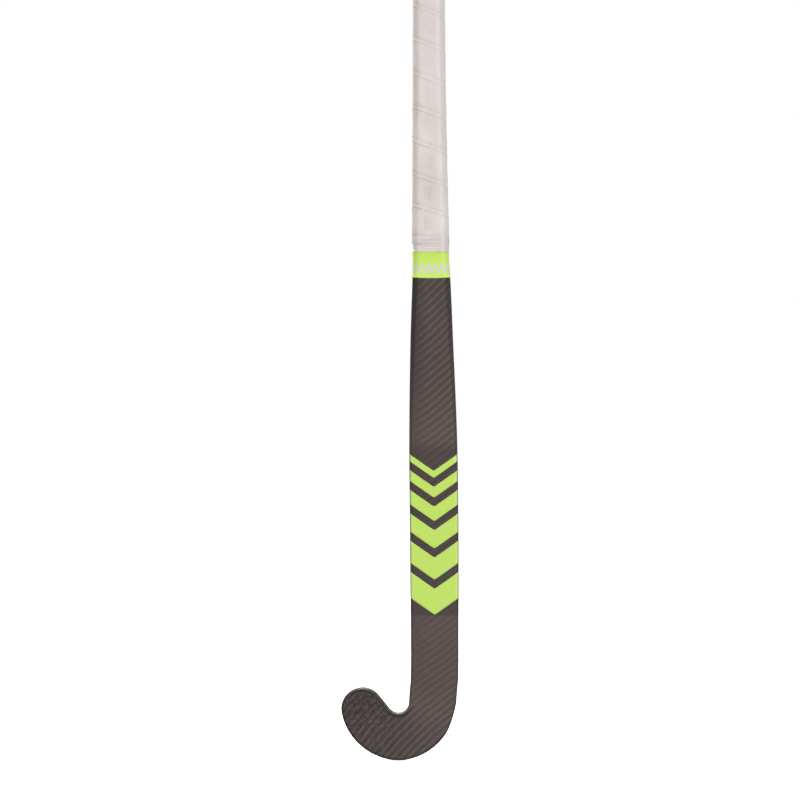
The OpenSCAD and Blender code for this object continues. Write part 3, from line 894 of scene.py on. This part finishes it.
def tape_outer(across):
    """The tape's outside: a ridge inside its upper edge, a groove where the turn below starts, and a
    long fall towards the lower edge that the next turn covers."""
    ridge = 0.12 * bump(across, 2.2, 1.5)
    groove = -0.22 * bump(across, tape_groove, 0.38)
    shoulder = 0.13 * bump(across, tape_groove + 1.6, 1.2)
    edge = -0.22 * bump(across, 0, 0.7)
    fall = -(tape_level - tape_thin) * smoothstep(29.5, 39.5, across)
    return tape_level + ridge + groove + shoulder + edge + fall


def upper_edge(turn):
    """Height of the tape's upper edge after so many turns."""
    down = tape_pitch * (turn - 1) - (tape_pitch - tape_pitch_low) * np.maximum(turn - close_turn, 0)
    return np.minimum(first_edge - down, laminate_top - 0.05)


def pressed_tape(height):
    """The tape's outside where the finishing film holds it down; its lower edge is skived thin."""
    return 0.75 + 0.47 * smoothstep(grip_base, grip_base + 4.5, height)


def wound_grip():
    last_turn = 1.0
    while upper_edge(np.array(last_turn)) > grip_base + 1.5:
        last_turn += 1 / turn_steps
    turns = np.arange(0, last_turn, 1 / turn_steps)
    across = np.concatenate([np.arange(0, 8, 0.2), np.arange(8, 29, 1.75), np.arange(29, tape_w, 0.6),
                             [tape_w]])
    high = upper_edge(turns)
    low = np.maximum(upper_edge(turns + 1) - tape_lap, grip_base)
    # Near the ends the tape is cut to a taper, so its profile is squeezed into the width that is left.
    width = np.maximum(high - low, 0.8)[:, None]
    shares, across = np.meshgrid(turns, across, indexing="ij")
    heights = high[:, None] - across / tape_w * width
    relief = 0.10 * ripple(heights, shares, 11, up_scale=26) + 0.05 * ripple(heights, shares, 12, waves=8)
    pull = 0.10 * bump(across, 31.5, 2.6) * ripple(heights, shares, 13, waves=8, up_scale=40)
    low_turns = 1 - smoothstep(grip_base + 35, grip_base + 80, heights)
    crease = ripple(heights, shares, 14, waves=9, up_scale=5) * 0.13 * low_turns * bump(across, 2.6, 1.8)
    crowned = tape_outer(across) + relief * smoothstep(3.0, 6.0, across) + pull + crease
    pressed = pressed_tape(heights) + 0.8 * smoothstep(finish_top - 0.5, finish_top + 5, heights)
    inner = tape_inner(across)
    outer = np.maximum(np.minimum(crowned, pressed), inner + 0.04)
    outside = handle.at(heights, shares, outer)
    inside = handle.at(heights, shares, inner)
    values = np.stack([across, shares], axis=-1)
    return closed_sheet("wound_grip", outside, inside, False, "tape", values)


# ---- Finishing tape and collar ----

def sleeve_piece(name, heights, outer, inner, lean, columns=192):
    """A sleeve round the handle. outer and inner give millimetres off the moulding by height and share, and
    lean how far a point is moved up."""
    all_up, all_shares = np.meshgrid(heights, np.arange(columns + 1) / columns, indexing="ij")
    up, share = all_up[:, :-1], all_shares[:, :-1]
    moved = up + lean(up, share)
    outside = handle.at(moved, share, outer(up, share))
    inside = handle.at(moved, share, inner(up, share))
    signed = (all_shares - np.where(all_shares > 0.5, 1.0, 0.0)) * handle.round_at(all_up)
    return closed_sheet(name, outside, inside, True, "flow", np.stack([signed, all_up], axis=-1))


def finishing_tape():
    """Stretched film round the grip's lower end, with creases that run round it."""
    bottom = finish_base - 1.0
    heights = np.arange(finish_top, bottom, -0.25)
    draw = random.Random(5)
    creases = [(finish_base + draw.uniform(1.0, 12.5), draw.uniform(0, 1), draw.uniform(0.07, 0.2),
                draw.uniform(0.4, 0.9), draw.uniform(-3.0, 1.0)) for _ in range(16)]

    def inner(up, share):
        over_collar = 0.42 * (1 - smoothstep(finish_base - 0.4, finish_base + 1.6, up + 0 * share))
        on_tape = smoothstep(grip_base - 1.5, grip_base - 0.2, up)
        return 0.06 + over_collar + (pressed_tape(up) - 0.02) * on_tape

    def outer(up, share):
        # It steps down sharply on the toe side and slopes down on the heel side.
        heel_side = 0.5 + 0.5 * np.cos(2 * math.pi * (share - 0.25))
        low, high = grip_base - 2.5 - 9.5 * heel_side, grip_base + 3.5 + heel_side
        film = 0.30 + 1.2 * smoothstep(0, 1, (up - low) / (high - low))
        for level, middle, size, spread, slope in creases:
            near = np.mod(share - middle + 0.5, 1.0) - 0.5
            film = film + size * bump(near, 0, 0.2) * bump(up, level + slope * near * 4, spread)
        film = film + 0.03 * ripple(up, share, 21, up_scale=5)
        return np.maximum(film, inner(up, share) + 0.16)

    def frayed(up, share):
        """The lower edge isn't cut quite straight."""
        return 0.5 * ripple(0 * up, share, 22, waves=9) * (1 - smoothstep(bottom, bottom + 5, up))

    return sleeve_piece("finishing_film", heights, outer, inner, lean=frayed)


def collar():
    """The collar band: wrinkled along its upper edge, with a rolled hem below."""
    heights = np.arange(collar_top - 0.05, collar_base - 0.01, -0.3)

    def outer(up, share):
        lift = up - collar_base
        hem = 0.3 * np.exp(-((lift - 1.35) / 1.0) ** 4)
        body = 0.40 + 0.0 * share
        wrinkle = smoothstep(19.0, 25.5, lift) * (0.16 + 0.20 * ripple(up, share, 31, waves=9, up_scale=7))
        wrinkle = wrinkle * (1 - smoothstep(25.8, 27.0, lift))
        edge = -0.15 * bump(lift, 0, 0.35)
        return np.maximum(body + hem + wrinkle + edge + 0.03 * ripple(up, share, 32, up_scale=14), 0.14)

    def sagging(up, share):
        """The hem hangs a little lower on the face than at the sides."""
        return -0.4 * np.cos(4 * math.pi * share) * (collar_top - up) / (collar_top - collar_base)

    return sleeve_piece("collar_band_film", heights, outer, lambda up, share: 0.03 + 0 * up, sagging)


# ---- Transfers ----

chevrons_base = 144.5
first_chevron = 26.0
last_chevron = 7.0
chevron_count = 6
chevron_gap = 9.0
chevron_rise = 17.0
chevron_reach = 24.2
# How blunt the point is, and the film's inside and outside off the moulding.
chevron_tip = 0.03
ink_inside, ink_outside = 0.035, 0.15


def chevron(index, base, height):
    """A thin ink film across the face and round the start of its edges, with its point down."""
    climb, side = np.meshgrid(np.linspace(1, 0, 17), np.linspace(-1, 1, 97), indexing="ij")
    heights = base + height * climb + chevron_rise * np.sqrt(side**2 + chevron_tip**2)
    shares = side * chevron_reach / blade.round_at(heights)
    outside = blade.at(heights, shares, ink_outside)
    inside = blade.at(heights, shares, ink_inside)
    ribs = ribs_below(heights) - shares * ribs_round
    values = np.stack([ribs, heights], axis=-1)
    return closed_sheet(f"chevron_{index}", outside, inside, False, "ribs", values)


def chevrons():
    pieces, base = [], chevrons_base
    for i in range(chevron_count):
        height = first_chevron + (last_chevron - first_chevron) * i / (chevron_count - 1)
        pieces.append(chevron(i, base, height))
        base += height + chevron_gap
    return pieces


# ---- Butt cap ----

cap_grow = 1.54
cap_round = 1.5
cap_round_steps = 8
cap_rest = 0.02
rim_bevel = 0.3
stem_r = 4.0
stem_length = 16.0
stem_bevel = 0.6
# The cap's face from its rim in, as distances in from the rim and depths: two moulded rings.
cap_rings = [(1.6, 0), (2.6, 0), (2.9, 0.35), (3.7, 0.35), (4.0, 0), (5.6, 0), (5.9, 0.35), (6.7, 0.35),
             (7.0, 0)]
# The dimple in the middle of the face, as radii and depths.
cap_dimple = [(4.2, 0), (3.9, 0.15), (3.2, 0.55), (2.0, 0.75), (0.3, 0.8)]


def butt_cap():
    """The rubber end cap: rounded rim, two moulded rings on its face, a centre dimple and its stem."""
    outline = ring_outline(shaft_section(stick_length))
    angles = np.arctan2(outline[:, 1], outline[:, 0])
    radius = np.linalg.norm(outline, axis=1)
    rim = radius + cap_grow

    def loop(size, height):
        """A ring of points. size is its radius, or each point's."""
        return np.column_stack([size * np.cos(angles), size * np.sin(angles), np.full(RING, height)])

    stem_end = laminate_top - stem_length
    rows = [loop(0.4, stem_end), loop(stem_r - stem_bevel, stem_end), loop(stem_r, stem_end + stem_bevel),
            loop(stem_r, laminate_top), loop(stem_r + 0.05, laminate_top + cap_rest),
            loop(rim - rim_bevel, laminate_top + cap_rest), loop(rim, laminate_top + rim_bevel),
            loop(rim, stick_length - cap_round)]
    for i in range(1, cap_round_steps + 1):
        p = math.pi / 2 * i / cap_round_steps
        rows.append(loop(rim - cap_round * (1 - math.cos(p)), stick_length - cap_round * (1 - math.sin(p))))
    rows += [loop(radius - inward, stick_length - depth) for inward, depth in cap_rings]
    rows += [loop(r, stick_length - depth) for r, depth in cap_dimple]
    faces = []
    last = (len(rows) - 1) * RING
    for i in range(0, last, RING):
        for k in range(RING):
            n = (k + 1) % RING
            faces.append((i + k, i + n, i + RING + n, i + RING + k))
    faces += [tuple(range(RING))[::-1], tuple(range(last, last + RING))]
    return make_piece("butt_cap", np.concatenate(rows), faces)


# ---- Assembly ----

finishes = {
    "carbon_laminate": braided_carbon(),
    "inner_laminate": resin_weave("inner_laminate", (0.075, 0.07, 0.065), (0.03, 0.028, 0.026), 400.0),
    "shaft_foam": cast_foam("shaft_foam", (0.86, 0.74, 0.45), (0.60, 0.46, 0.22), 900.0),
    "head_foam": cast_foam("head_foam", (0.72, 0.62, 0.48), (0.48, 0.38, 0.26), 1400.0),
    "aramid_ply": resin_weave("aramid_ply", (0.74, 0.54, 0.12), (0.42, 0.27, 0.05), 330.0),
    "damping_elastomer": plain("damping_elastomer", (0.05, 0.05, 0.055), (0.02, 0.02, 0.022), 0.6),
    "plug_plastic": plain("plug_plastic", (0.04, 0.04, 0.04), (0.018, 0.018, 0.018), 0.5),
    "cap_rubber": cap_rubber(),
    "adhesive_tape": plain("adhesive_tape", (0.66, 0.62, 0.5), (0.52, 0.47, 0.35), 0.4),
    "grip_cushion": cushioned_grip(),
    "finishing_film": stretched_film(),
    "collar_film": collar_film(),
    "transfer_ink": transfer_ink(),
}


def mount(piece, slot, *stands_for):
    """Puts a new piece on the stick with its finish, in place of CAD nodes."""
    piece.data.materials.append(finishes[slot])
    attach(piece, "root")
    if stands_for:
        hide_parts(*stands_for)


mount(moulded_stick(), "carbon_laminate", "shell")
mount(wound_grip(), "grip_cushion", "grip_tape")
mount(finishing_tape(), "finishing_film", "finishing_tape")
mount(collar(), "collar_film", "collar_band")
mount(butt_cap(), "cap_rubber", "end_cap")
for film in chevrons():
    mount(film, "transfer_ink", "face_transfers")

slots = {row["node"]: row["material_slot"] for row in frame["record"]["subparts"]}
for name, node in frame["nodes"].items():
    node.data.materials.clear()
    node.data.materials.append(finishes[slots[name]])

# ---- Stage, light and camera ----

view_width = 0.8023
view_lens = 200.0
view_sensor = 36.0
view_x = -0.029
view_z = -0.5671
view_plane = -0.02
floor_radius = 14
floor_gap = 0.0004


def floor():
    f = Finish("pale_floor")
    diffuse = f.add("ShaderNodeBsdfDiffuse", None, {"Color": (0.9, 0.9, 0.9)})
    glow = f.add("ShaderNodeEmission", None, {"Color": (1, 1, 1), "Strength": 0.8})
    both = f.add("ShaderNodeAddShader", None, [diffuse, glow])
    bpy.ops.mesh.primitive_circle_add(vertices=96, radius=floor_radius, fill_type="NGON",
                                      location=(0, 0, cad_box[0][2] - floor_gap))
    ground = bpy.context.object
    ground.name = "pale_floor"
    ground.data.materials.append(f.finished("ShaderNodeOutputMaterial", both))
    ground.visible_glossy = False
    ground.visible_diffuse = False


def softbox(name, place, size, power, aim=(0, 0, -0.5)):
    light = bpy.data.lights.new(name, "AREA")
    light.shape = "RECTANGLE"
    light.size, light.size_y = size
    light.energy = power
    lamp = bpy.data.objects.new(name, light)
    lamp.location = place
    lamp.rotation_euler = (Vector(aim) - Vector(place)).to_track_quat("-Z", "Y").to_euler()
    bpy.context.scene.collection.objects.link(lamp)


def surroundings():
    """White where the camera sees it; dimmer as a light."""
    world = bpy.data.worlds.new("studio")
    bpy.context.scene.world = world
    f = Finish("studio", world)
    seen = f.add("ShaderNodeBackground", None, {"Color": (1, 1, 1)})
    felt = f.add("ShaderNodeBackground", None, {"Color": (1.0, 0.99, 0.98), "Strength": 0.33})
    direct = f.add("ShaderNodeLightPath", output="Is Camera Ray")
    f.finished("ShaderNodeOutputWorld", f.add("ShaderNodeMixShader", None, [direct, felt, seen]))


floor()
surroundings()
softbox("right_softbox", (2.85, -2.3, 0.3), (1.1, 1.8), 87)
softbox("left_softbox", (-2.6, -2.5, 0.2), (1.1, 1.8), 66)
softbox("top_softbox", (-0.1, 0.5, 1.6), (1.0, 0.7), 85, (-0.1, 0, -1))
softbox("back_softbox", (-1.2, 3.0, 0.6), (1.6, 1.8), 46)

camera = bpy.data.objects.new("camera", bpy.data.cameras.new("camera"))
camera.data.lens = view_lens
camera.data.sensor_width = view_sensor
camera.data.clip_end = 60
camera.location = (view_x, view_plane - view_width * view_lens / view_sensor, view_z)
camera.rotation_euler = (math.pi / 2, 0, 0)
bpy.context.scene.collection.objects.link(camera)
bpy.context.scene.camera = camera
bpy.context.scene.view_settings.view_transform = "Standard"
